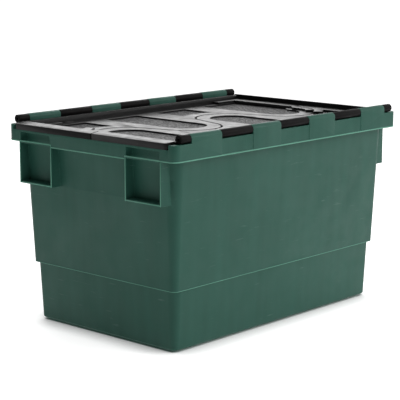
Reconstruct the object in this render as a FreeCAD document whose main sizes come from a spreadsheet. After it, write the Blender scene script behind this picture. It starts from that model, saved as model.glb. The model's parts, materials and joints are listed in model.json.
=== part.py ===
"""Attached lid tote: a nestable plastic tub with two lids hinged on its long sides.

Frame: +X along the tub's length, +Y across it, +Z up; the origin is the centre
of the footprint, at the level the tub stands on. Lengths are in millimetres.
The two lids are the same moulding. Their free edges are wavy and interlock
along the middle of the tote, with tongues of each lid lying in the bays of
the other.
"""

import FreeCAD, Part
import Sketcher
import math
import os

Vector = FreeCAD.Vector
Z_AXIS = Vector(0, 0, 1)
ORIGIN = (-1, 1)          # the sketch origin, as a (geometry, point) pair
START, END, CENTRE = 1, 2, 3

DIMENSIONS = [
    # alias, value, meaning
    ("length", 600, "rim length, over the end skirts"),
    ("width", 400, "rim width, over the side skirts"),
    ("rim_top", 350, "height of the rim's corners and sides"),
    ("rim_corner", 14, "corner radius of the rim"),
    ("flange_low", 322, "height of the skirt's lower edge"),
    ("skirt", 3, "skirt and web thickness"),
    ("seat_top", 342, "height of the seat the lids close on"),
    ("seat_half_width", 186, "centre line to the seat's side wall"),
    ("base_length", 527, "tub length at its floor"),
    ("base_width", 327, "tub width at its floor"),
    ("step_length", 545, "tub length just above the step"),
    ("step_width", 345, "tub width just above the step"),
    ("step_top", 105, "height of the step in the tub's wall"),
    ("draft", 3, "wall draft in degrees"),
    ("tub_corner", 11, "radius of the tub's vertical corners"),
    ("wall", 2.8, "wall thickness"),
    ("floor_thick", 3, "floor thickness"),
    ("base_round", 4, "round along the bottom edge"),
    ("foot_height", 3, "height of the foot bars"),
    ("foot_width", 9, "width of the foot bars"),
    ("foot_inset", 8, "foot bars' distance inside the base outline"),
    ("foot_setback", 45, "foot bars' end distance from the base corner"),
    ("block_near", 88, "centre line to a stacking block's inner side"),
    ("block_far", 170, "centre line to a stacking block's outer side"),
    ("block_low", 250, "height of a stacking block's underside"),
    ("block_depth", 40, "depth of a block before the wall closes it"),
    ("bead", 3, "height of the bead that crosses a block"),
    ("grip_low", 318, "lower edge of the skirt between the blocks"),
    ("knuckle_radius", 7.4, "radius of the tub's hinge knuckles"),
    ("lid_knuckle", 7.2, "radius of the lids' hinge knuckles"),
    ("knuckle_one", 38.6, "centre to the first change of knuckle"),
    ("knuckle_two", 110.8, "centre to the second change of knuckle"),
    ("knuckle_three", 189, "centre to the third change of knuckle"),
    ("knuckle_four", 260.6, "centre to the fourth change of knuckle"),
    ("knuckle_end", 284, "centre to the outer end of the last knuckle"),
    ("knuckle_gap", 0.3, "axial clearance at each change of knuckle"),
    ("axis_lift", 0.2, "clearance of the tub's rim under the lids' knuckles"),
    ("panel_inset", 0.8, "depth of the flat under each lid knuckle"),
    ("rod_radius", 2.5, "hinge rod radius"),
    ("rod_half", 277, "half length of a hinge rod"),
    ("rod_clearance", 0.05, "radial clearance of a rod in its knuckles"),
    ("lid_half_width", 183, "centre line to the lid's hinge edge"),
    ("lid_corner", 8, "corner radius of a lid's outline"),
    ("lid_lift", 0.3, "gap between a closed lid and its seat"),
    ("lip_top", 352.5, "height of the lid's top at its end edges"),
    ("crest_top", 355, "height of the lid's end crest"),
    ("crest_half", 281.5, "centre to the lid's end crest"),
    ("lip_thick", 3, "thickness of the lid's end lip"),
    ("hinge_rim_top", 353.5, "height of the lid's rim along its hinge"),
    ("hinge_rim_half", 175, "centre line to that rim's inner face"),
    ("ledge_top", 346.3, "height of the ledges at the lid's ends"),
    ("ledge_half", 254, "centre to the inner edge of a ledge"),
    ("band_top", 342, "height of the smooth bands of the lid"),
    ("corner_block", 207, "centre to the raised corners of the recess"),
    ("corner_block_half", 159, "centre line to those raised corners"),
    ("sheet", 2.8, "lid wall thickness"),
    ("panel_drop", 2.7, "depth of the textured panels"),
    ("plug_half_length", 279.3, "half length of what hangs into the tub"),
    ("plug_half_width", 179.3, "half width of what hangs into the tub"),
    ("plug_corner", 28, "corner radius of what hangs into the tub"),
    ("hollow_setback", 14, "distance of the ledges' hollows from the plug's sides"),
    ("quarter_wave", 65.5, "quarter of the seam's wave length"),
    ("seam_swing", 70, "how far the seam strays from the middle"),
    ("seam_radius", 60, "radius of the seam's bends"),
    ("seam_gap", 2.4, "gap between the two lids"),
    ("seam_corner", 8, "radius where the seam turns to the lid's end"),
    ("notch", 10.6, "seam's distance from the middle at the ends"),
    ("panel_half", 40, "half width of a textured panel"),
    ("panel_tip", 42, "tongue panel's reach past the middle"),
    ("panel_far", 157, "centre line to the panels' outer edge"),
    ("band_width", 25, "width of the smooth band along the seam"),
    ("panel_jog", 10, "where an end tongue's panel starts to widen to the ledge"),
    ("nose_inner", 45, "inner radius of the ledge's nose on an end tongue"),
    ("nose_turn", 47, "how far that nose follows the seam, in degrees"),
    ("nose_root", 13, "angle at which it leaves the ledge, in degrees"),
    ("nose_outer", 78, "outer radius of the ledge's nose beside an end bay"),
    ("nose_stop", 110, "angle at which that nose ends, in degrees"),
    ("overrun", 1, "how far a cut runs past the material"),
    ("overlap", 0.1, "how far joined pads run into each other"),
]

MIN_CHANGE = 1.0          # the least volume that a feature may add or take away
TOLERANCE = 0.01


def make_sheet(doc):
    sheet = doc.addObject("Spreadsheet::Sheet", "Dims")
    for row, (alias, value, meaning) in enumerate(DIMENSIONS, start=1):
        sheet.set(f"A{row}", alias)
        sheet.set(f"B{row}", str(value))
        sheet.set(f"C{row}", meaning)
        sheet.setAlias(f"B{row}", alias)
    doc.recompute()
    return sheet


def dim(expression):
    """Prefix every alias in an expression with the sheet's name."""
    words = []
    word = ""
    for letter in expression + " ":
        if letter.isalpha() or letter == "_":
            word += letter
            continue
        known = any(word == alias for alias, _, _ in DIMENSIONS)
        words.append("Dims." + word if known else word)
        words.append(letter)
        word = ""
    return "".join(words).strip()


# ---------------------------------------------------------------- sketches

def sketch_on(body, role, name, offset="0"):
    """A sketch on one of the body's own origin planes, offset along its normal."""
    sketch = body.newObject("Sketcher::SketchObject", name)
    plane = next(item for item in body.Origin.OriginFeatures if item.Role == role)
    sketch.AttachmentSupport = [(plane, "")]
    sketch.MapMode = "FlatFace"
    if offset != "0":
        sketch.setExpression("AttachmentOffset.Base.z", dim(offset))
    return sketch


def number(sketch, expression):
    return float(sketch.evalExpression(dim(expression)))


def bind(sketch, kind, ends, expression):
    """Add a dimension to the sketch and drive it from the sheet."""
    index = sketch.addConstraint(Sketcher.Constraint(kind, *ends, number(sketch, expression)))
    sketch.setExpression(f"Constraints[{index}]", dim(expression))


def place_point(sketch, geometry, point, x, y):
    bind(sketch, "DistanceX", (*ORIGIN, geometry, point), x)
    bind(sketch, "DistanceY", (*ORIGIN, geometry, point), y)


def join(sketch, chain, kinds):
    """Close a chain of (geometry, entry point, exit point) with the kinds of joint."""
    following = chain[1:] + chain[:1]
    for (first, _, leave), (second, enter, _), kind in zip(chain, following, kinds):
        sketch.addConstraint(Sketcher.Constraint(kind, first, leave, second, enter))


def outline(sketch, corners, bends=None):
    """A closed outline through corners, which are (x, y) expressions.

    bends gives the edges that are arcs: the number of the edge's first corner, with
    the arc's centre, its radius, and whether it runs anticlockwise.
    """
    bends = bends or {}
    points = [Vector(number(sketch, x), number(sketch, y), 0) for x, y in corners]
    chain = []
    for index, (here, there) in enumerate(zip(points, points[1:] + points[:1])):
        if index not in bends:
            line = sketch.addGeometry(Part.LineSegment(here, there), False)
            chain.append((line, START, END))
            continue
        x, y, radius, anticlockwise = bends[index]
        centre = Vector(number(sketch, x), number(sketch, y), 0)
        circle = Part.Circle(centre, Z_AXIS, number(sketch, radius))
        first, last = (here, there) if anticlockwise else (there, here)
        angles = [math.atan2(end.y - centre.y, end.x - centre.x) for end in (first, last)]
        if angles[1] < angles[0]:
            angles[1] += 2 * math.pi
        bend = sketch.addGeometry(Part.ArcOfCircle(circle, *angles), False)
        chain.append((bend, START, END) if anticlockwise else (bend, END, START))
    join(sketch, chain, ["Coincident"] * len(chain))
    for (geometry, enter, _), (x, y) in zip(chain, corners):
        place_point(sketch, geometry, enter, x, y)
    for index, (_, y, _, _) in bends.items():
        bind(sketch, "DistanceY", (*ORIGIN, chain[index][0], CENTRE), y)


def rectangle(sketch, low_x, high_x, low_y, high_y):
    outline(sketch, [(low_x, low_y), (high_x, low_y), (high_x, high_y), (low_x, high_y)])


def rounded_rectangle(sketch, length, width, radius):
    """A rectangle about the origin with four equal corner arcs."""
    x = number(sketch, length) / 2
    y = number(sketch, width) / 2
    r = number(sketch, radius)
    corners = [(x, -y, -90), (x, y, 0), (-x, y, 90), (-x, -y, 180)]
    chain = []
    arcs = []
    lines = []
    for index, (cx, cy, start) in enumerate(corners):
        previous = corners[index - 1]
        centre = Vector(cx - math.copysign(r, cx), cy - math.copysign(r, cy), 0)
        before = Vector(previous[0] - math.copysign(r, previous[0]),
                        previous[1] - math.copysign(r, previous[1]), 0)
        turn = Vector(math.cos(math.radians(start)), math.sin(math.radians(start)), 0) * r
        lines.append(sketch.addGeometry(Part.LineSegment(before + turn, centre + turn), False))
        circle = Part.Circle(centre, Z_AXIS, r)
        arc = Part.ArcOfCircle(circle, math.radians(start), math.radians(start + 90))
        arcs.append(sketch.addGeometry(arc, False))
        chain += [(lines[-1], START, END), (arcs[-1], START, END)]
    join(sketch, chain, ["Tangent"] * len(chain))
    bottom, right, top, left = lines
    for line in (bottom, top):
        sketch.addConstraint(Sketcher.Constraint("Horizontal", line))
    for line in (right, left):
        sketch.addConstraint(Sketcher.Constraint("Vertical", line))
    for arc in arcs[1:]:
        sketch.addConstraint(Sketcher.Constraint("Equal", arcs[0], arc))
    sketch.addConstraint(Sketcher.Constraint("Symmetric", bottom, START, top, START, *ORIGIN))
    bind(sketch, "Radius", (arcs[0],), radius)
    bind(sketch, "DistanceX", (left, START, right, START), length)
    bind(sketch, "DistanceY", (bottom, START, top, START), width)


def circle(sketch, x, y, radius):
    centre = Vector(number(sketch, x), number(sketch, y), 0)
    geometry = sketch.addGeometry(Part.Circle(centre, Z_AXIS, number(sketch, radius)), False)
    place_point(sketch, geometry, CENTRE, x, y)
    bind(sketch, "Radius", (geometry,), radius)


# ---------------------------------------------------------------- features

def feature(body, kind, name, sketch, length, up=True, both_ways=False, taper=None):
    """A pad or pocket of a sketch. `up` is along the sketch's normal."""
    item = body.newObject("PartDesign::" + kind, name)
    item.Profile = sketch
    item.setExpression("Length", dim(length))
    if both_ways:
        item.SideType = "Symmetric"
    item.Reversed = up if kind == "Pocket" else not up
    if taper:
        item.setExpression("TaperAngle", dim(taper))
    sketch.Visibility = False
    return item


def changed(doc, body, name, growing):
    """Recompute, and stop if the last feature left the body's volume as it was."""
    before = changed.volume.get(body.Name, 0.0)
    doc.recompute()
    after = body.Shape.Volume
    if not (after > before + MIN_CHANGE if growing else after < before - MIN_CHANGE):
        raise RuntimeError(f"{name} changed nothing: {before:.0f} to {after:.0f}")
    changed.volume[body.Name] = after


changed.volume = {}


def pad(doc, body, name, sketch, length, **options):
    feature(body, "Pad", name, sketch, length, **options)
    changed(doc, body, name, True)


def pocket(doc, body, name, sketch, length, **options):
    feature(body, "Pocket", name, sketch, length, **options)
    changed(doc, body, name, False)


def mirror_rectangles(sketch, near, far, low, high):
    """Two rectangles, one each side of the sketch's vertical axis."""
    rectangle(sketch, near, far, low, high)
    rectangle(sketch, f"-({far})", f"-({near})", low, high)


# ---------------------------------------------------------------- the tub

AXIS_Y = "width / 2 - knuckle_radius"
AXIS_Z = "rim_top + knuckle_radius + axis_lift"


def tub_rim(doc, body):
    """The rim: an outer skirt, a seat for the lids and raised sides."""
    sketch = sketch_on(body, "XY_Plane", "rim_outline", "flange_low")
    rounded_rectangle(sketch, "length", "width", "rim_corner")
    pad(doc, body, "rim_block", sketch, "rim_top - flange_low")

    sketch = sketch_on(body, "XY_Plane", "rim_inside", "flange_low")
    rounded_rectangle(sketch, "length - 2 * skirt", "width - 2 * skirt", "rim_corner - skirt")
    pocket(doc, body, "rim_hollow", sketch, "seat_top - skirt - flange_low")

    sketch = sketch_on(body, "XY_Plane", "seat_outline", "seat_top")
    rectangle(sketch, "-length", "length", "-seat_half_width", "seat_half_width")
    pocket(doc, body, "lid_seat", sketch, "rim_top - seat_top + overrun")

    sketch = sketch_on(body, "XY_Plane", "side_channels", "seat_top - skirt")
    for side in ("", "-"):
        near = f"{side}(seat_half_width + skirt)"
        far = f"{side}(width / 2 - skirt)"
        rectangle(sketch, "rim_corner - length / 2", "length / 2 - rim_corner", near, far)
    pocket(doc, body, "side_channel", sketch, "rim_top - seat_top")


def tub_blocks(doc, body):
    """Hollow, open-fronted stacking blocks under the rim at both ends."""
    for end, up in (("", False), ("-", True)):
        tag = "left" if end else "right"
        sketch = sketch_on(body, "YZ_Plane", f"block_outline_{tag}", f"{end}length / 2")
        mirror_rectangles(sketch, "block_near", "block_far", "block_low", "seat_top - skirt / 2")
        pad(doc, body, f"blocks_{tag}", sketch, "block_depth", up=up)

        sketch = sketch_on(body, "YZ_Plane", f"block_mouth_{tag}", f"{end}length / 2")
        mirror_rectangles(sketch, "block_near + skirt", "block_far - skirt",
                          "block_low + skirt", "seat_top - skirt")
        pocket(doc, body, f"block_hollow_{tag}", sketch, "block_depth", up=up)

        sketch = sketch_on(body, "YZ_Plane", f"bead_outline_{tag}", f"{end}length / 2")
        mirror_rectangles(sketch, "block_near + overrun", "block_far - overrun",
                          "flange_low - bead / 2", "flange_low + bead / 2")
        pad(doc, body, f"block_bead_{tag}", sketch, "skirt", up=up)

        sketch = sketch_on(body, "YZ_Plane", f"grip_outline_{tag}", f"{end}length / 2")
        rectangle(sketch, "-block_near - overrun", "block_near + overrun",
                  "grip_low", "flange_low + overrun")
        pad(doc, body, f"grip_skirt_{tag}", sketch, "skirt", up=up)


def tub_shell(doc, body):
    """The tapered walls with their step, and the hollow they enclose."""
    sketch = sketch_on(body, "XY_Plane", "upper_outline", "step_top")
    rounded_rectangle(sketch, "step_length", "step_width", "tub_corner")
    pad(doc, body, "upper_walls", sketch, "seat_top - step_top", taper="draft")

    sketch = sketch_on(body, "XY_Plane", "lower_outline", "foot_height")
    rounded_rectangle(sketch, "base_length", "base_width", "tub_corner")
    pad(doc, body, "lower_walls", sketch, "step_top - foot_height", taper="draft")

    sketch = sketch_on(body, "XY_Plane", "upper_inside", "step_top + wall")
    inset = "2 * wall - 2 * wall * tan(draft)"
    rounded_rectangle(sketch, f"step_length - ({inset})", f"step_width - ({inset})",
                      "tub_corner - wall")
    pocket(doc, body, "upper_hollow", sketch, "rim_top - step_top", taper="draft")

    sketch = sketch_on(body, "XY_Plane", "lower_inside", "foot_height + floor_thick")
    inset = "2 * wall - 2 * floor_thick * tan(draft)"
    rounded_rectangle(sketch, f"base_length - ({inset})", f"base_width - ({inset})",
                      "tub_corner - wall")
    pocket(doc, body, "lower_hollow", sketch, "step_top - floor_thick", taper="draft")


def tub_feet(doc, body):
    """Four low bars that the tub stands on, short of the corners."""
    sketch = sketch_on(body, "XY_Plane", "foot_outline")
    along = "base_length / 2 - foot_setback"
    across = "base_width / 2 - foot_setback"
    for side in ("", "-"):
        outer = f"{side}(base_width / 2 - foot_inset)"
        inner = f"{side}(base_width / 2 - foot_inset - foot_width)"
        rectangle(sketch, f"-({along})", along, inner, outer)
        outer = f"{side}(base_length / 2 - foot_inset)"
        inner = f"{side}(base_length / 2 - foot_inset - foot_width)"
        rectangle(sketch, inner, outer, f"-({across})", across)
    pad(doc, body, "feet", sketch, "foot_height + overrun")


def knuckle_profile(sketch, side):
    """Rounded top of a hinge bar flush with the skirt, on one side of the tub."""
    sign = -1 if side == "-" else 1
    axis_y = number(sketch, AXIS_Y) * sign
    axis_z = number(sketch, AXIS_Z)
    radius = number(sketch, "knuckle_radius")
    foot = number(sketch, "rim_top - overrun")
    right = axis_y + radius
    left = axis_y - radius
    arc = Part.ArcOfCircle(Part.Circle(Vector(axis_y, axis_z, 0), Z_AXIS, radius), 0, math.pi)
    top = sketch.addGeometry(arc, False)
    outline = [Vector(left, axis_z, 0), Vector(left, foot, 0),
               Vector(right, foot, 0), Vector(right, axis_z, 0)]
    lines = [sketch.addGeometry(Part.LineSegment(here, there), False)
             for here, there in zip(outline, outline[1:])]
    join(sketch, [(top, START, END)] + [(line, START, END) for line in lines],
         ["Tangent", "Coincident", "Coincident", "Tangent"])
    place_point(sketch, top, CENTRE, f"{side}({AXIS_Y})", AXIS_Z)
    bind(sketch, "Radius", (top,), "knuckle_radius")
    sketch.addConstraint(Sketcher.Constraint("Vertical", lines[0]))
    sketch.addConstraint(Sketcher.Constraint("Horizontal", lines[1]))
    bind(sketch, "DistanceY", (*ORIGIN, lines[1], START), "rim_top - overrun")


def tub_hinges(doc, body):
    """Hinge knuckles along both sides, with gaps for the lids' knuckles."""
    sketch = sketch_on(body, "YZ_Plane", "hinge_bars")
    knuckle_profile(sketch, "")
    knuckle_profile(sketch, "-")
    pad(doc, body, "hinge_bar", sketch, "2 * knuckle_four", both_ways=True)

    sketch = sketch_on(body, "XY_Plane", "lid_knuckle_gaps", "rim_top")
    rectangle(sketch, "-knuckle_one", "knuckle_one", "-width", "width")
    mirror_rectangles(sketch, "knuckle_two", "knuckle_three", "-width", "width")
    pocket(doc, body, "knuckle_gap_cut", sketch, "3 * knuckle_radius")

    sketch = sketch_on(body, "YZ_Plane", "rod_holes")
    for side in ("", "-"):
        circle(sketch, f"{side}({AXIS_Y})", AXIS_Z, "rod_radius + rod_clearance")
    pocket(doc, body, "rod_hole", sketch, "length", both_ways=True)

    for side, up in (("", True), ("-", False)):
        tag = "front" if side == "" else "back"
        sketch = sketch_on(body, "XZ_Plane", f"skirt_flats_{tag}", f"{side}width / 2")
        low = "flange_low + bead"
        rectangle(sketch, "-knuckle_one", "knuckle_one", low, "rim_top + overrun")
        mirror_rectangles(sketch, "knuckle_two", "knuckle_three", low, "rim_top + overrun")
        pocket(doc, body, f"skirt_flat_{tag}", sketch, "panel_inset", up=not up)


def tub_base_round(doc, body):
    """Round the tub's bottom outer edge."""
    low = body.Shape.BoundBox.ZMin + float(body.evalExpression(dim("foot_height")))
    reach = float(body.evalExpression(dim("base_length"))) / 2
    breadth = float(body.evalExpression(dim("base_width"))) / 2
    corner = float(body.evalExpression(dim("tub_corner")))
    names = []
    for index, edge in enumerate(body.Shape.Edges, start=1):
        box = edge.BoundBox
        level = abs(box.ZMin - low) < TOLERANCE and abs(box.ZMax - low) < TOLERANCE
        far_x = max(abs(box.XMin), abs(box.XMax)) > reach - corner / 2
        far_y = max(abs(box.YMin), abs(box.YMax)) > breadth - corner / 2
        straight_x = abs(abs(box.YMin) - breadth) < TOLERANCE and box.YLength < TOLERANCE
        straight_y = abs(abs(box.XMin) - reach) < TOLERANCE and box.XLength < TOLERANCE
        if level and (straight_x or straight_y or (far_x and far_y)):
            names.append(f"Edge{index}")
    walls = body.Tip
    fillet = body.newObject("PartDesign::Fillet", "base_round")
    fillet.Base = (walls, names)
    fillet.setExpression("Radius", dim("base_round"))
    changed(doc, body, "base_round", False)


def make_tub(doc):
    body = doc.addObject("PartDesign::Body", "tub")
    tub_rim(doc, body)
    tub_blocks(doc, body)
    tub_shell(doc, body)
    tub_feet(doc, body)
    tub_base_round(doc, body)
    tub_hinges(doc, body)
    return body


# ---------------------------------------------------------------- the lids

LAST_BEND = 3             # the seam's bends stand at odd numbers of quarter waves


def seam_lines(sketch):
    """Where the seam's straight flanks touch its bends: the direction to each point."""
    quarter = number(sketch, "quarter_wave")
    rise = number(sketch, "seam_swing - seam_radius")
    radius = number(sketch, "seam_radius")
    spread = math.hypot(2 * quarter, 2 * rise)
    return math.atan2(-rise, quarter) + math.acos(2 * radius / spread)


def lid_outline(sketch):
    """The lid in plan: wavy free edge, straight ends and hinge edge.

    The bends of the free edge are arcs, open bays at +rise and tongues at -rise,
    joined by straight flanks that touch both.
    """
    quarter = number(sketch, "quarter_wave")
    rise = number(sketch, "seam_swing - seam_radius")
    lean = seam_lines(sketch)
    half = number(sketch, "length / 2")
    hinge_edge = number(sketch, "lid_half_width")
    corner = number(sketch, "lid_corner")
    small = number(sketch, "seam_corner")
    gap = number(sketch, "seam_gap / 2")
    notch = number(sketch, "notch")
    bends = [(-LAST_BEND, 1), (-1, -1), (1, 1), (LAST_BEND, -1)]

    def arc(x, y, radius, first, last):
        base = Part.Circle(Vector(x, y, 0), Z_AXIS, radius)
        return sketch.addGeometry(Part.ArcOfCircle(base, first, last), False)

    def line(a, b):
        return sketch.addGeometry(Part.LineSegment(Vector(*a, 0), Vector(*b, 0)), False)

    def at(x, y, radius, angle):
        return (x + radius * math.cos(angle), y + radius * math.sin(angle))

    arcs = []
    ends = []
    for step, sign in bends:
        radius = number(sketch, "seam_radius") + sign * gap
        if sign > 0:
            first, last = lean, math.pi - lean
            enter, leave = END, START
        else:
            first, last = math.pi + lean, 2 * math.pi - lean
            enter, leave = START, END
        arcs.append((arc(step * quarter, sign * rise, radius, first, last), enter, leave))
        left = at(step * quarter, sign * rise, radius, last if sign > 0 else first)
        right = at(step * quarter, sign * rise, radius, first if sign > 0 else last)
        ends.append((left, right))

    # small arcs where the seam turns to run straight out of the lid's ends
    flank = (math.sin(lean), math.cos(lean))
    inner_radius = small - gap
    outer_radius = small + gap
    low_centre_y = small - notch
    first_left = ends[0][0]
    reach = (low_centre_y - first_left[1] - inner_radius * math.sin(lean)) / flank[1]
    foot = (first_left[0] + reach * flank[0], first_left[1] + reach * flank[1])
    low_centre = (foot[0] - inner_radius * math.cos(lean), low_centre_y)
    low_arc = arc(*low_centre, inner_radius, -math.pi / 2, -lean)
    high_centre = (-low_centre[0], -low_centre[1])
    high_arc = arc(*high_centre, outer_radius, math.pi / 2, math.pi - lean)

    chain = []
    low_start = at(*low_centre, inner_radius, -lean)
    chain.append((line((-half, -notch + gap), (low_centre[0], -notch + gap)), START, END))
    chain.append((low_arc, START, END))
    chain.append((line(low_start, ends[0][0]), START, END))
    for index, bend in enumerate(arcs):
        chain.append(bend)
        if index < len(arcs) - 1:
            chain.append((line(ends[index][1], ends[index + 1][0]), START, END))
    high_start = at(*high_centre, outer_radius, math.pi - lean)
    chain.append((line(ends[-1][1], high_start), START, END))
    chain.append((high_arc, END, START))
    chain.append((line((high_centre[0], notch + gap), (half, notch + gap)), START, END))
    right_side = line((half, notch + gap), (half, hinge_edge - corner))
    chain.append((right_side, START, END))
    right_corner = arc(half - corner, hinge_edge - corner, corner, 0, math.pi / 2)
    chain.append((right_corner, START, END))
    hinge_line = line((half - corner, hinge_edge), (corner - half, hinge_edge))
    chain.append((hinge_line, START, END))
    left_corner = arc(corner - half, hinge_edge - corner, corner, math.pi / 2, math.pi)
    chain.append((left_corner, START, END))
    left_side = line((-half, hinge_edge - corner), (-half, -notch + gap))
    chain.append((left_side, START, END))

    kinds = ["Tangent"] * len(chain)
    kinds[chain.index((right_side, START, END)) - 1] = "Coincident"
    kinds[-1] = "Coincident"
    join(sketch, chain, kinds)

    for (geometry, _, _), (step, sign) in zip(arcs, bends):
        place_point(sketch, geometry, CENTRE, f"{step} * quarter_wave",
                    f"{sign} * (seam_swing - seam_radius)")
        bind(sketch, "Radius", (geometry,), f"seam_radius + {sign} * seam_gap / 2")
    bind(sketch, "Radius", (low_arc,), "seam_corner - seam_gap / 2")
    bind(sketch, "Radius", (high_arc,), "seam_corner + seam_gap / 2")
    for edge in (chain[0][0], hinge_line, chain[-6][0]):
        sketch.addConstraint(Sketcher.Constraint("Horizontal", edge))
    for edge in (right_side, left_side):
        sketch.addConstraint(Sketcher.Constraint("Vertical", edge))
    for edge in (right_corner, left_corner):
        bind(sketch, "Radius", (edge,), "lid_corner")
    place_point(sketch, chain[0][0], START, "-length / 2", "seam_gap / 2 - notch")
    place_point(sketch, right_side, START, "length / 2", "notch + seam_gap / 2")
    bind(sketch, "DistanceY", (*ORIGIN, hinge_line, START), "lid_half_width")


def tongue_panel(sketch, step, grow):
    """A textured panel that runs out into a tongue, with a round end.

    The one at the lid's end widens to reach the ledge.
    """
    centre = f"{step} * quarter_wave"
    half = f"(panel_half + {grow})"
    tip_y = "(panel_half - panel_tip)"
    far = f"panel_far + {grow}"
    left = f"{centre} - {half}"
    right = f"{centre} + {half}"
    corners = [(left, tip_y), (right, tip_y)]
    if step == LAST_BEND:
        edge = f"ledge_half + {grow}"
        corners += [(right, "panel_jog"), (edge, f"panel_jog + {edge} - ({right})"), (edge, far)]
    else:
        corners += [(right, far)]
    corners += [(left, far)]
    outline(sketch, corners, {0: (centre, tip_y, half, True)})


def bay_panel(sketch, step, grow):
    """A textured panel behind a bay, its near edge following the bay's bend.

    The one at the lid's end reaches the ledge.
    """
    centre = f"{step} * quarter_wave"
    rise = "(seam_swing - seam_radius)"
    sweep = f"(seam_radius + band_width - ({grow}))"
    far = f"panel_far + {grow}"
    left_half = f"(panel_half + {grow})"
    right_half = left_half
    if step == -LAST_BEND:
        left_half = f"(ledge_half + {grow} + {centre})"
    left_y = f"{rise} + sqrt({sweep} ^ 2 - {left_half} ^ 2)"
    right_y = f"{rise} + sqrt({sweep} ^ 2 - {right_half} ^ 2)"
    left = f"{centre} - {left_half}"
    right = f"{centre} + {right_half}"
    corners = [(right, right_y), (left, left_y), (left, far), (right, far)]
    bend = (centre, rise, sweep, True)
    outline(sketch, corners, {0: bend})


def lid_panels(sketch, grow):
    for step in (-1, LAST_BEND):
        tongue_panel(sketch, step, grow)
    for step in (-LAST_BEND, 1):
        bay_panel(sketch, step, grow)


def recess_floor(sketch):
    """The recess's floor, with the ledges' noses left standing beside the seam."""
    rise = "(seam_swing - seam_radius)"
    tongue_x = f"{LAST_BEND} * quarter_wave"
    bay_x = f"-{LAST_BEND} * quarter_wave"
    clear_out = "(seam_radius + seam_corner)"
    clear_in = "(seam_radius - seam_corner)"
    ledge_y = f"{rise} + sqrt(nose_outer ^ 2 - (ledge_half - {tongue_x}) ^ 2)"
    root_x = f"{tongue_x} + nose_inner * cos(nose_root)"
    root_y = f"nose_inner * sin(nose_root) - {rise}"

    def on_tongue(radius):
        return (f"{tongue_x} + {radius} * cos(nose_turn)", f"-{rise} - {radius} * sin(nose_turn)")

    def on_bay(radius):
        return (f"{bay_x} + {radius} * cos(nose_stop)", f"{rise} + {radius} * sin(nose_stop)")

    corners = [
        (on_bay(clear_in)[0], "-width"), (on_tongue(clear_out)[0], "-width"),
        on_tongue(clear_out), on_tongue("nose_inner"), (root_x, root_y),
        ("ledge_half", f"{root_y} + ledge_half - ({root_x})"),
        ("ledge_half", "corner_block_half"), ("corner_block", "corner_block_half"),
        ("corner_block", "hinge_rim_half"), ("-corner_block", "hinge_rim_half"),
        ("-corner_block", "corner_block_half"), ("-ledge_half", "corner_block_half"),
        ("-ledge_half", ledge_y), on_bay("nose_outer"), on_bay(clear_in)]
    outline(sketch, corners, {
        3: (tongue_x, f"-{rise}", "nose_inner", True),
        12: (bay_x, rise, "nose_outer", False)})


UNDERSIDE = "(band_top - sheet)"
SEAT = "(seat_top + lid_lift)"


def lid_plate(doc, body):
    """The lid's blank, its raised ends and the recess that takes a stacked base."""
    sketch = sketch_on(body, "XY_Plane", "outline", UNDERSIDE)
    lid_outline(sketch)
    pad(doc, body, "blank", sketch, f"crest_top - {UNDERSIDE}")

    sketch = sketch_on(body, "XY_Plane", "seat_relief", UNDERSIDE)
    rectangle(sketch, "-length", "length", "-width", "width")
    rounded_rectangle(sketch, "2 * plug_half_length", "2 * plug_half_width", "plug_corner")
    pocket(doc, body, "over_the_rim", sketch, f"{SEAT} - {UNDERSIDE}")

    sketch = sketch_on(body, "XY_Plane", "hinge_rim_level", "hinge_rim_top")
    rectangle(sketch, "-crest_half", "crest_half", "-width", "width")
    pocket(doc, body, "hinge_rim", sketch, "crest_top - hinge_rim_top + overrun")

    sketch = sketch_on(body, "XY_Plane", "recess_outline", "ledge_top")
    rectangle(sketch, "-crest_half", "crest_half", "-width", "hinge_rim_half")
    pocket(doc, body, "recess", sketch, "crest_top - ledge_top + overrun")

    sketch = sketch_on(body, "XY_Plane", "floor_outline", "band_top")
    recess_floor(sketch)
    pocket(doc, body, "recess_floor", sketch, "ledge_top - band_top + overrun")


def end_slope(doc, body, side):
    """Let a lid's end fall gently from its crest to its lip."""
    tag = "left" if side else "right"
    sketch = sketch_on(body, "XZ_Plane", f"slope_{tag}")
    outside = f"{side}(length / 2 + overrun)"
    above = "crest_top + overrun"
    corners = [(f"{side}crest_half", "crest_top"), (f"{side}(length / 2)", "lip_top"),
               (outside, "lip_top"), (outside, above), (f"{side}crest_half", above)]
    outline(sketch, corners)
    pocket(doc, body, f"end_slope_{tag}", sketch, "2 * width", both_ways=True)


def lid_underside(doc, body):
    """Hollows under the ends and the ledges, and the panels' own undersides."""
    sketch = sketch_on(body, "XY_Plane", "crest_underside", SEAT)
    mirror_rectangles(sketch, "crest_half + sheet", "length / 2 - lip_thick",
                      "notch + 2 * lip_thick", "lid_half_width - lip_thick")
    pocket(doc, body, "crest_hollow", sketch, f"lip_top - sheet - {SEAT}")

    sketch = sketch_on(body, "XY_Plane", "ledge_underside", UNDERSIDE)
    mirror_rectangles(sketch, "ledge_half + sheet", "plug_half_length - sheet",
                      "notch + 2 * lip_thick", "plug_half_width - hollow_setback")
    pocket(doc, body, "ledge_hollow", sketch, f"ledge_top - sheet - {UNDERSIDE}")

    sketch = sketch_on(body, "XY_Plane", "panel_bottoms", "band_top - panel_drop - sheet")
    lid_panels(sketch, "sheet")
    pad(doc, body, "panel_underside", sketch, "panel_drop + overlap")

    sketch = sketch_on(body, "XY_Plane", "panel_outlines", "band_top - panel_drop")
    lid_panels(sketch, "0")
    pocket(doc, body, "panels", sketch, "panel_drop + overrun")


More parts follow.
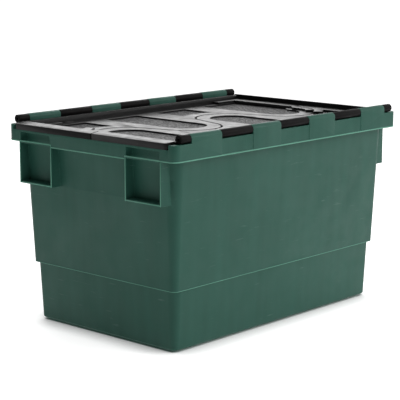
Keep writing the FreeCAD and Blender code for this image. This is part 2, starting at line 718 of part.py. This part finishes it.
def lid_hinge(doc, body):
    """Knuckles along the hinge edge, bored for the rod, and their necks."""
    sketch = sketch_on(body, "YZ_Plane", "barrel")
    circle(sketch, AXIS_Y, AXIS_Z, "lid_knuckle")
    pad(doc, body, "hinge_barrel", sketch, "2 * knuckle_end", both_ways=True)

    sketch = sketch_on(body, "YZ_Plane", "neck")
    rectangle(sketch, "lid_half_width - overrun", AXIS_Y, f"{AXIS_Z} - lid_knuckle", "hinge_rim_top")
    pad(doc, body, "hinge_neck", sketch, "2 * knuckle_end", both_ways=True)

    sketch = sketch_on(body, "XY_Plane", "tub_knuckle_gaps", "rim_top")
    mirror_rectangles(sketch, "knuckle_one - knuckle_gap", "knuckle_two + knuckle_gap",
                      "lid_half_width", "width")
    mirror_rectangles(sketch, "knuckle_three - knuckle_gap", "knuckle_four + knuckle_gap",
                      "lid_half_width", "width")
    pocket(doc, body, "knuckle_gap_cut", sketch, "3 * knuckle_radius")

    sketch = sketch_on(body, "YZ_Plane", "rod_hole_outline")
    circle(sketch, AXIS_Y, AXIS_Z, "rod_radius + rod_clearance")
    pocket(doc, body, "rod_hole", sketch, "length", both_ways=True)


def make_lid(doc, name, turned):
    """One lid, hinged on the +Y side, or turned half round for the -Y side."""
    body = doc.addObject("PartDesign::Body", name)
    lid_plate(doc, body)
    end_slope(doc, body, "")
    end_slope(doc, body, "-")
    lid_underside(doc, body)
    lid_hinge(doc, body)
    if turned:
        body.Placement = FreeCAD.Placement(Vector(0, 0, 0), FreeCAD.Rotation(Z_AXIS, 180))
    return body


def make_rod(doc, name, side):
    """A straight steel rod through all the knuckles of one side."""
    rod = doc.addObject("Part::Cylinder", name)
    rod.setExpression("Radius", dim("rod_radius"))
    rod.setExpression("Height", dim("2 * rod_half"))
    rod.Placement = FreeCAD.Placement(Vector(0, 0, 0), FreeCAD.Rotation(Vector(0, 1, 0), 90))
    rod.setExpression("Placement.Base.x", dim("-rod_half"))
    rod.setExpression("Placement.Base.y", dim(f"{side}({AXIS_Y})"))
    rod.setExpression("Placement.Base.z", dim(AXIS_Z))
    return rod


# ---------------------------------------------------------------- checks and files

def check(doc, parts):
    for item in doc.Objects:
        for state in item.State:
            if state in ("Invalid", "Error"):
                raise RuntimeError(f"{item.Name} is {state}")
    for part in parts:
        shape = part.Shape
        if shape.isNull() or not shape.isValid():
            raise RuntimeError(f"{part.Label} has no valid shape")
        print(part.Label, len(shape.Solids), "solid", round(shape.Volume / 1000, 1), "cm3", shape.BoundBox)


def main():
    doc = FreeCAD.newDocument("attached_lid_tote")
    make_sheet(doc)
    parts = [
        make_tub(doc),
        make_lid(doc, "lid_back", False),
        make_lid(doc, "lid_front", True),
        make_rod(doc, "hinge_rod_back", ""),
        make_rod(doc, "hinge_rod_front", "-"),
    ]
    doc.recompute()
    check(doc, parts)
    os.makedirs("parts", exist_ok=True)
    for part in parts:
        part.Shape.exportStep(f"parts/{part.Label}.step")


main()
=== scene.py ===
"""The looks of an attached lid tote: a green tub, two black lids and two hinge rods.

Places and sizes are in metres, in the frame of the CAD model. The moulded shells are the
model's own surfaces with rounded edges. Thin beads are added on the tub: along its rim,
its step and its hand grips, and round the mouths of its stacking blocks.
"""

import json
import math

import bmesh
import bpy
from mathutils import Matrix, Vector


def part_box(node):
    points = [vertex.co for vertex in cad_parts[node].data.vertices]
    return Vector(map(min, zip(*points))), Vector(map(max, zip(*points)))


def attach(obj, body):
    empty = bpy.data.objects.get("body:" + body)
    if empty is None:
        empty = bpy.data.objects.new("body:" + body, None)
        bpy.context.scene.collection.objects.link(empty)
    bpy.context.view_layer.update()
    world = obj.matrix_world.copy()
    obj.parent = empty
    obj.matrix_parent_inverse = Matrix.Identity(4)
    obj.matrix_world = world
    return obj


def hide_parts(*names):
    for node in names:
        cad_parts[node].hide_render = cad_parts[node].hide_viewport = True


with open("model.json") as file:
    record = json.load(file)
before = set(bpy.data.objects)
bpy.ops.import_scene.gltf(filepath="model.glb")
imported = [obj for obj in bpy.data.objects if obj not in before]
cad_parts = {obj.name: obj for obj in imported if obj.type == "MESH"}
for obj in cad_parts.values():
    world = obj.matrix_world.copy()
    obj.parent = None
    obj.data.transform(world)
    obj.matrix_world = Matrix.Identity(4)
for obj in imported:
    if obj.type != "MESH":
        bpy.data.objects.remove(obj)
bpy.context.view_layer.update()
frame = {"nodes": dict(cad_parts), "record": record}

MM = 0.001

# levels and places of the shells' surfaces
BAND_TOP = 342 * MM               # the lids' smooth bands
PANEL_FLOOR = 339.3 * MM          # the lids' textured panels
LID_UNDERSIDE = 339.2 * MM        # the lids' edge along the seam, below
LID_HALF_WIDTH = 183 * MM         # the hinge knuckles stand outside this
SKIRT_LOW = 322 * MM              # the rim skirt's lower edge
SAME = 0.04 * MM                  # two levels closer than this are one
UPWARD = 0.9                      # the Z of the normal of a face that looks up, at least
UPRIGHT = 0.1                     # the Z of the normal of an upright face, at most

# how the shells' surfaces are cleaned and their edges rounded
WELD = 0.001 * MM
FLAT = math.radians(0.1)
SHARP = math.radians(30)          # edges that bend less than this stay as they are
ROUNDING_STEPS = 3
TUB_EDGE = 0.9 * MM
LID_EDGE = 0.8 * MM
SEAM_EDGE = 2.0 * MM

# the beads on the tub
RIM_CORNER = 14 * MM              # the radius of the rim's corners, seen from above
BEAD_RADIUS = 1.3 * MM
BEAD_PROUD = 0.5 * MM             # how far the beads stand out of their surface
STEP_LEVEL = 105 * MM
STEP_HALF = (272.5 * MM, 172.5 * MM)
STEP_CORNER = 11 * MM
STEP_BEAD = 0.6 * MM              # the radius of the bead on the step
GRIP_LOW = 318 * MM               # the skirt's lower edge between the blocks
BLOCK_LOW = 250 * MM              # the blocks' lower end
BLOCK_NEAR = 88 * MM              # the blocks' sides, from the middle
BLOCK_FAR = 170 * MM
FRAME_WIDTH = 3 * MM              # the frame round a block's mouth
FRAME_PROUD = 0.4 * MM

# the darker and the lighter colour of each cloudy plastic, and of the pebbled panels
GREEN = ((0.018, 0.077, 0.056), (0.024, 0.092, 0.068))
# painted highlight, with some edge wear: the tub's rounded edges and beads are coloured much
# lighter than its green
GREEN_EDGE_HIGHLIGHT_AND_WEAR = ((0.095, 0.270, 0.195), (0.120, 0.320, 0.235))
BLACK = ((0.004, 0.004, 0.004), (0.008, 0.008, 0.008))
# painted highlight, with some edge wear: the lids' rounded edges are coloured lighter than their
# black
BLACK_EDGE_HIGHLIGHT_AND_WEAR = ((0.012, 0.011, 0.011), (0.022, 0.021, 0.021))
KNUCKLE = ((0.004, 0.004, 0.004), (0.007, 0.006, 0.006))
# painted shade and painted highlight: the pebbles' dark colour fills the hollows between grains,
# their light colour the grains' tops
PEBBLE_SHADE_AND_HIGHLIGHT = ((0.004, 0.004, 0.005), (0.045, 0.044, 0.045))
GREEN_SCUFF = (0.16, 0.25, 0.21)
BLACK_SCRATCH = (0.10, 0.10, 0.10)
BRIGHT_STEEL = (0.55, 0.55, 0.56)
DULL_STEEL = (0.36, 0.35, 0.34)
GLOSS = 0.20                      # the specular level of the moulded plastics
KNUCKLE_GLOSS = 0.06

# the studio: how strongly the world and the floor shine, and the softboxes' places
WORLD_DIM = 0.06                  # as light from -X
WORLD_BRIGHT = 0.80               # as light from +X
FLOOR_SIZE = 30
FLOOR_LIGHT = 0.40                # the floor's glow on the tote
FLOOR_SEEN = 0.70                 # the floor's glow to the camera, away from the tote
CONTACT_REACH = 60 * MM           # how far the shadow under the tub reaches
SOFTBOXES = (
    # name, place, aim, size and power
    ("softbox_right", (1.6, -2.6, 1.6), (0.0, 0.0, 0.2), 1.6, 34),
    ("softbox_back", (1.4, 1.8, 1.5), (0.0, 0.0, 0.3), 1.8, 26),
    ("softbox_top", (-0.2, -0.3, 2.4), (0.0, 0.0, 0.3), 1.4, 14),
)

# the camera stands on the -X -Y side and looks down a little, at the middle of the tote
CAMERA_PLACE = (-1.88759, -1.70213, 0.67691)
CAMERA_AZIMUTH = math.radians(-47.61)
CAMERA_ELEVATION = math.radians(10.66)
CAMERA_LENS = 128.0


# ---------------------------------------------------------------- node helpers

class Material:
    """A node material being built: its tree, its shader and the object's coordinates."""

    def __init__(self, name):
        self.data = bpy.data.materials.new(name)
        self.data.use_nodes = True
        self.tree = self.data.node_tree
        self.shader = self.tree.nodes["Principled BSDF"]
        self.place = self.add("ShaderNodeTexCoord").outputs["Object"]

    def add(self, kind, **settings):
        node = self.tree.nodes.new(kind)
        for name, value in settings.items():
            setattr(node, name, value)
        return node

    def link(self, source, target):
        self.tree.links.new(source, target)

    def stretched(self, scale):
        """The object's coordinates, scaled by a different amount along each axis."""
        mapping = self.add("ShaderNodeMapping")
        mapping.inputs["Scale"].default_value = scale
        self.link(self.place, mapping.inputs["Vector"])
        return mapping.outputs["Vector"]

    def noise(self, scale, detail=3.0, place=None):
        node = self.add("ShaderNodeTexNoise")
        node.inputs["Scale"].default_value = scale
        node.inputs["Detail"].default_value = detail
        self.link(place or self.place, node.inputs["Vector"])
        return node.outputs["Fac"]

    def pebbles(self, scale):
        """Height of round grains that touch each other."""
        node = self.add("ShaderNodeTexVoronoi", feature="SMOOTH_F1")
        node.inputs["Scale"].default_value = scale
        node.inputs["Smoothness"].default_value = 0.35
        self.link(self.place, node.inputs["Vector"])
        return self.ranged(node.outputs["Distance"], 0.15, 0.75, 1.0, 0.0)

    def ranged(self, value, low, high, to_low, to_high):
        node = self.add("ShaderNodeMapRange")
        for name, number in (("From Min", low), ("From Max", high),
                             ("To Min", to_low), ("To Max", to_high)):
            node.inputs[name].default_value = number
        self.link(value, node.inputs["Value"])
        return node.outputs["Result"]

    def blend(self, factor, first, second):
        """A colour between two others. Each is a colour or another node's output."""
        node = self.add("ShaderNodeMix", data_type="RGBA")
        self.link(factor, node.inputs["Factor"])
        for socket, colour in ((node.inputs[6], first), (node.inputs[7], second)):
            if isinstance(colour, tuple):
                socket.default_value = (*colour, 1.0)
            else:
                self.link(colour, socket)
        return node.outputs[2]

    def bump(self, height, distance, strength=1.0, under=None):
        node = self.add("ShaderNodeBump")
        node.inputs["Distance"].default_value = distance
        node.inputs["Strength"].default_value = strength
        self.link(height, node.inputs["Height"])
        if under:
            self.link(under, node.inputs["Normal"])
        return node.outputs["Normal"]

    def finish(self, colour, roughness, normal):
        for name, source in (("Base Color", colour), ("Roughness", roughness),
                             ("Normal", normal)):
            self.link(source, self.shader.inputs[name])
        return self.data


# ---------------------------------------------------------------- materials

def moulded_green(name, dark, light):
    """Green moulded plastic: cloudy pigment, upright flow marks, scuffs and a fine grain."""
    material = Material(name)
    clouds = material.noise(7.0, 4.0)
    streaks = material.noise(1.0, 4.0, material.stretched((60.0, 60.0, 3.0)))
    colour = material.blend(material.ranged(clouds, 0.3, 0.7, 0.0, 1.0), dark, light)
    streaked = material.ranged(streaks, 0.35, 0.75, 0.0, 0.35)
    colour = material.blend(streaked, colour, tuple(1.25 * part for part in light))
    scuffs = material.noise(1.0, 6.0, material.stretched((25.0, 25.0, 220.0)))
    scuffs = material.ranged(scuffs, 0.66, 0.78, 0.0, 0.3)
    colour = material.blend(scuffs, colour, GREEN_SCUFF)
    roughness = material.ranged(material.noise(35.0, 5.0), 0.3, 0.7, 0.40, 0.55)
    waves = material.bump(material.noise(9.0, 1.0), 3.0 * MM, 0.35)
    normal = material.bump(material.noise(1500.0, 2.0), 0.08 * MM, 0.6, waves)
    material.shader.inputs["Specular IOR Level"].default_value = GLOSS
    return material.finish(colour, roughness, normal)


def moulded_black(name, dark, light, roughness, gloss):
    """Black moulded plastic: satin, with a fine grain and faint hairline scratches."""
    material = Material(name)
    clouds = material.noise(16.0, 4.0)
    colour = material.blend(material.ranged(clouds, 0.3, 0.7, 0.0, 1.0), dark, light)
    scratches = material.noise(1.0, 7.0, material.stretched((18.0, 420.0, 60.0)))
    scratches = material.ranged(scratches, 0.68, 0.74, 0.0, 0.35)
    colour = material.blend(scratches, colour, BLACK_SCRATCH)
    patches = material.ranged(material.noise(55.0, 5.0), 0.3, 0.7, roughness, roughness + 0.14)
    waves = material.bump(material.noise(14.0, 1.0), 0.4 * MM, 0.2)
    normal = material.bump(material.noise(1900.0, 2.0), 0.05 * MM, 0.6, waves)
    material.shader.inputs["Specular IOR Level"].default_value = gloss
    return material.finish(colour, patches, normal)


def pebbled_black(name):
    """The lids' grip panels: close round grains with dull hollows between them."""
    material = Material(name)
    grains = material.pebbles(260.0)
    # painted shade and painted highlight: the grains' height also colours them, dark in the
    # hollows and light on the tops
    colour = material.blend(grains, *PEBBLE_SHADE_AND_HIGHLIGHT)
    roughness = material.ranged(grains, 0.0, 1.0, 0.70, 0.42)
    fine = material.bump(material.noise(1900.0, 2.0), 0.05 * MM, 0.6)
    normal = material.bump(grains, 1.3 * MM, 1.0, fine)
    material.shader.inputs["Specular IOR Level"].default_value = GLOSS
    return material.finish(colour, roughness, normal)


def drawn_steel(name):
    """Bright drawn steel with fine draw lines along the rod and a few dull patches."""
    material = Material(name)
    lines = material.noise(1.0, 3.0, material.stretched((6.0, 2600.0, 2600.0)))
    patches = material.noise(40.0, 4.0)
    dull = material.ranged(patches, 0.35, 0.7, 0.0, 1.0)
    colour = material.blend(dull, BRIGHT_STEEL, DULL_STEEL)
    roughness = material.ranged(lines, 0.3, 0.7, 0.22, 0.42)
    material.shader.inputs["Metallic"].default_value = 1.0
    return material.finish(colour, roughness, material.bump(lines, 0.03 * MM, 0.8))


def studio_floor():
    """A white floor that glows. To the camera it is darker where something stands close."""
    material = Material("studio_floor")
    # painted shadow: to the camera the floor's glow is dimmed by ambient occlusion near the tub,
    # a contact shadow that no lamp casts
    near = material.add("ShaderNodeAmbientOcclusion")
    near.inputs["Distance"].default_value = CONTACT_REACH
    camera_glow_with_painted_shadow = material.ranged(near.outputs["AO"], 0.30, 0.90, 0.0, FLOOR_SEEN)
    strength = material.add("ShaderNodeMix")
    material.link(material.add("ShaderNodeLightPath").outputs["Is Camera Ray"],
                  strength.inputs[0])
    strength.inputs[2].default_value = FLOOR_LIGHT
    material.link(camera_glow_with_painted_shadow, strength.inputs[3])
    glow = material.add("ShaderNodeEmission")
    glow.inputs["Color"].default_value = (1.0, 1.0, 1.0, 1.0)
    material.link(strength.outputs[0], glow.inputs["Strength"])
    matt = material.add("ShaderNodeBsdfDiffuse")
    matt.inputs["Color"].default_value = (0.8, 0.8, 0.8, 1.0)
    both = material.add("ShaderNodeAddShader")
    material.link(glow.outputs[0], both.inputs[0])
    material.link(matt.outputs[0], both.inputs[1])
    output = material.tree.nodes["Material Output"]
    material.link(both.outputs[0], output.inputs["Surface"])
    return material.data


# ---------------------------------------------------------------- shells from the frame

def body_of(node):
    """The name of the body that a CAD node belongs to."""
    bodies = frame["record"]["behaviour"]["bodies"]
    return next(body for body, nodes in bodies.items() if node in nodes)


def level_of(edge):
    """The height of a level edge, or None for one that rises."""
    low, high = sorted(vert.co.z for vert in edge.verts)
    return low if high - low < SAME else None


def is_seam_edge(edge):
    """Whether an edge runs along the top of a lid's free edge, at the bands' level."""
    level = level_of(edge)
    if level is None or abs(level - BAND_TOP) > SAME:
        return False
    walls = [face for face in edge.link_faces if abs(face.normal.z) < UPRIGHT]
    lows = [min(vert.co.z for vert in face.verts) for face in walls]
    return any(low < LID_UNDERSIDE + SAME for low in lows)


def clean_copy(node):
    """The node's surface as a mesh, with clean flat faces that an edge round can cut."""
    mesh = bmesh.new()
    mesh.from_mesh(frame["nodes"][node].data)
    bmesh.ops.remove_doubles(mesh, verts=mesh.verts, dist=WELD)
    bmesh.ops.dissolve_limit(mesh, angle_limit=FLAT, verts=mesh.verts, edges=mesh.edges)
    large = [face for face in mesh.faces if len(face.verts) > 4]
    bmesh.ops.triangulate(mesh, faces=large, ngon_method="BEAUTY")
    mesh.normal_update()
    for face in mesh.faces:
        face.smooth = True
    return mesh


def add_bevel(piece, width, edge_material, by_weight=False):
    """Rounds a piece's sharp edges, or only those whose bevel weight is 1."""
    bevel = piece.modifiers.new("rounded_edges", "BEVEL")
    bevel.width = width
    bevel.segments = ROUNDING_STEPS
    bevel.limit_method = "WEIGHT" if by_weight else "ANGLE"
    bevel.angle_limit = SHARP
    bevel.harden_normals = True
    bevel.miter_outer = "MITER_ARC"
    # the rounded strips take edge_material; for the outer rounding it is the lighter edge
    # colour, a painted highlight with some edge wear
    bevel.material = edge_material


def shell(node, materials, edge_width, choose=None, seam_width=0.0):
    """A moulded piece: the node's surface with rounded edges.

    choose gives the number of each face's material; the last material is the edges', which is
    coloured lighter as a painted highlight, with some edge wear.
    """
    mesh = clean_copy(node)
    for face in mesh.faces:
        face.material_index = choose(face) if choose else 0
    if seam_width:
        weights = mesh.edges.layers.float.new("bevel_weight_edge")
        for edge in mesh.edges:
            edge[weights] = 1.0 if is_seam_edge(edge) else 0.0
    data = bpy.data.meshes.new(node + "_shell")
    mesh.to_mesh(data)
    mesh.free()
    for material in materials:
        data.materials.append(material)
    piece = bpy.data.objects.new(node + "_shell", data)
    bpy.context.scene.collection.objects.link(piece)
    if seam_width:
        add_bevel(piece, seam_width, 0, by_weight=True)
    add_bevel(piece, edge_width, len(materials) - 1)
    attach(piece, body_of(node))
    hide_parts(node)


def lid_surface(face):
    """1 for the textured panels' floors, 2 for the hinge knuckles, 0 for the smooth rest."""
    centre = face.calc_center_median()
    if face.normal.z > UPWARD and abs(centre.z - PANEL_FLOOR) < SAME:
        return 1
    return 2 if abs(centre.y) > LID_HALF_WIDTH + SAME else 0


# ---------------------------------------------------------------- beads on the tub

def round_corner(centre, start, radius, steps=8):
    """Points along a quarter circle from the angle start, and the way out at each."""
    path = []
    for step in range(steps + 1):
        angle = start + step * math.pi / 2 / steps
        out = Vector((math.cos(angle), math.sin(angle), 0.0))
        path.append((centre + out * radius, out))
    return path


def rounded_loop(half_x, half_y, corner, level):
    """A path round a rectangle with round corners, anticlockwise."""
    path = []
    for turn, (sign_x, sign_y) in enumerate(((1, 1), (-1, 1), (-1, -1), (1, -1))):
        centre = Vector((sign_x * (half_x - corner), sign_y * (half_y - corner), level))
        path += round_corner(centre, turn * math.pi / 2, corner)
    return path


def bead(name, path, material, closed=False, radius=BEAD_RADIUS, proud=BEAD_PROUD, sides=10):
    """A round bead along a path of (point, way out), sunk so that it stands little proud."""
    mesh = bmesh.new()
    rings = []
    last = len(path) - 1
    for index, (point, out) in enumerate(path):
        before = path[index - 1 if closed else max(index - 1, 0)][0]
        after = path[(index + 1) % len(path) if closed else min(index + 1, last)][0]
        across = (after - before).normalized().cross(out)
        centre = point + out * (proud - radius)
        ring = []
        for side in range(sides):
            angle = 2 * math.pi * side / sides
            offset = out * math.cos(angle) + across * math.sin(angle)
            ring.append(mesh.verts.new(centre + offset * radius))
        rings.append(ring)
    pairs = list(zip(rings, rings[1:]))
    if closed:
        pairs.append((rings[-1], rings[0]))
    else:
        mesh.faces.new(rings[0])
        mesh.faces.new(rings[-1])
    for ring, following in pairs:
        for side in range(sides):
            beside = (side + 1) % sides
            corners = (ring[side], following[side], following[beside], ring[beside])
            mesh.faces.new(corners).smooth = True
    bmesh.ops.recalc_face_normals(mesh, faces=mesh.faces)
    data = bpy.data.meshes.new(name)
    mesh.to_mesh(data)
    mesh.free()
    data.materials.append(material)
    piece = bpy.data.objects.new(name, data)
    bpy.context.scene.collection.objects.link(piece)
    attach(piece, "tub")


def bar(start, end, out):
    """A straight path between two points."""
    return [(Vector(start), Vector(out)), (Vector(end), Vector(out))]


def tub_beads(material):
    """Beads along the rim's lower edge, the step and the grips, and round the blocks' mouths."""
    # the beads take the material passed in, the tub's lighter edge colour: a painted highlight
    # with some edge wear
    low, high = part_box("tub")
    level = SKIRT_LOW + BEAD_RADIUS
    rim = rounded_loop(high[0], high[1], RIM_CORNER, level)
    half = len(rim) // 2
    for tag, sign, corners in (("back", 1, rim[:half]), ("front", -1, rim[half:])):
        starts = [(Vector((sign * high[0], sign * BLOCK_NEAR, level)), Vector((sign, 0, 0)))]
        ends = [(Vector((sign * low[0], sign * BLOCK_NEAR, level)), Vector((-sign, 0, 0)))]
        bead(f"rim_bead_{tag}", starts + corners + ends, material)
    step = rounded_loop(*STEP_HALF, STEP_CORNER, STEP_LEVEL + STEP_BEAD)
    bead("step_bead", step, material, closed=True, radius=STEP_BEAD, proud=STEP_BEAD / 2)
    inset = FRAME_WIDTH / 2
    sides = (BLOCK_NEAR + inset, BLOCK_FAR - inset)
    foot = BLOCK_LOW + inset
    grip = GRIP_LOW + BEAD_RADIUS
    for tag, x, out in (("right", high[0], (1, 0, 0)), ("left", low[0], (-1, 0, 0))):
        grip_bar = bar((x, -BLOCK_NEAR, grip), (x, BLOCK_NEAR, grip), out)
        bead(f"grip_bead_{tag}", grip_bar, material)
        for place, sign in (("back", 1), ("front", -1)):
            name = f"block_bead_{tag}_{place}"
            for edge, y in zip(("inner", "outer"), sides):
                upright = bar((x, sign * y, BLOCK_LOW), (x, sign * y, SKIRT_LOW), out)
                bead(f"{name}_{edge}", upright, material, proud=FRAME_PROUD)
            level_bar = bar((x, sign * sides[0], foot), (x, sign * sides[1], foot), out)
            bead(f"{name}_low", level_bar, material, proud=FRAME_PROUD)


# ---------------------------------------------------------------- studio

def area_light(name, place, aim, size, power):
    """A square softbox that faces the point aim."""
    data = bpy.data.lights.new(name, "AREA")
    data.size = size
    data.energy = power
    light = bpy.data.objects.new(name, data)
    light.location = place
    light.rotation_mode = "QUATERNION"
    light.rotation_quaternion = (Vector(aim) - Vector(place)).to_track_quat("-Z", "Y")
    bpy.context.scene.collection.objects.link(light)


def studio_world():
    """White to the camera. As light and in reflections it is dimmer, and dimmest from -X."""
    world = bpy.data.worlds.new("studio")
    world.use_nodes = True
    tree = world.node_tree
    link = tree.links.new
    place = tree.nodes.new("ShaderNodeTexCoord")
    axes = tree.nodes.new("ShaderNodeSeparateXYZ")
    link(place.outputs["Generated"], axes.inputs[0])
    side = tree.nodes.new("ShaderNodeMapRange")
    for name, value in (("From Min", -0.8), ("From Max", 0.5),
                        ("To Min", WORLD_DIM), ("To Max", WORLD_BRIGHT)):
        side.inputs[name].default_value = value
    link(axes.outputs["X"], side.inputs["Value"])
    path = tree.nodes.new("ShaderNodeLightPath")
    choose = tree.nodes.new("ShaderNodeMix")
    link(path.outputs["Is Camera Ray"], choose.inputs[0])
    link(side.outputs["Result"], choose.inputs[2])
    choose.inputs[3].default_value = 1.0
    link(choose.outputs[0], tree.nodes["Background"].inputs["Strength"])
    tree.nodes["Background"].inputs["Color"].default_value = (1.0, 1.0, 1.0, 1.0)
    bpy.context.scene.world = world


def studio():
    bpy.ops.mesh.primitive_plane_add(size=FLOOR_SIZE)
    floor = bpy.context.object
    floor.name = "studio_floor"
    floor.data.materials.append(studio_floor())
    studio_world()
    for softbox in SOFTBOXES:
        area_light(*softbox)
    bpy.context.scene.view_settings.view_transform = "Standard"


def camera():
    data = bpy.data.cameras.new("camera")
    data.lens = CAMERA_LENS
    view = bpy.data.objects.new("camera", data)
    view.location = CAMERA_PLACE
    level = math.cos(CAMERA_ELEVATION)
    back = Vector((math.sin(CAMERA_AZIMUTH) * level, -math.cos(CAMERA_AZIMUTH) * level,
                   math.sin(CAMERA_ELEVATION)))
    view.rotation_mode = "QUATERNION"
    view.rotation_quaternion = (-back).to_track_quat("-Z", "Y")
    bpy.context.scene.collection.objects.link(view)
    bpy.context.scene.camera = view


# ---------------------------------------------------------------- the tote

def tote():
    green = moulded_green("green_plastic", *GREEN)
    # painted highlight, with some edge wear: the tub's edge material is a much lighter green
    green_edge_highlight_and_wear = moulded_green("green_edges_highlight_and_wear", *GREEN_EDGE_HIGHLIGHT_AND_WEAR)
    black = moulded_black("black_plastic", *BLACK, 0.30, GLOSS)
    # painted highlight, with some edge wear: the lids' edge material is a lighter black
    black_edge_highlight_and_wear = moulded_black("black_edges_highlight_and_wear", *BLACK_EDGE_HIGHLIGHT_AND_WEAR, 0.34, GLOSS)
    knuckles = moulded_black("black_knuckles", *KNUCKLE, 0.42, KNUCKLE_GLOSS)
    panels = pebbled_black("black_pebbles_painted_shading")
    steel = drawn_steel("rod_steel")

    shell("tub", [green, green_edge_highlight_and_wear], TUB_EDGE)
    for node in ("lid_back", "lid_front"):
        shell(node, [black, panels, knuckles, black_edge_highlight_and_wear], LID_EDGE,
              choose=lid_surface, seam_width=SEAM_EDGE)
    for node in ("hinge_rod_back", "hinge_rod_front"):
        rod = frame["nodes"][node]
        rod.data.materials.clear()
        rod.data.materials.append(steel)
    tub_beads(green_edge_highlight_and_wear)


tote()
studio()
camera()
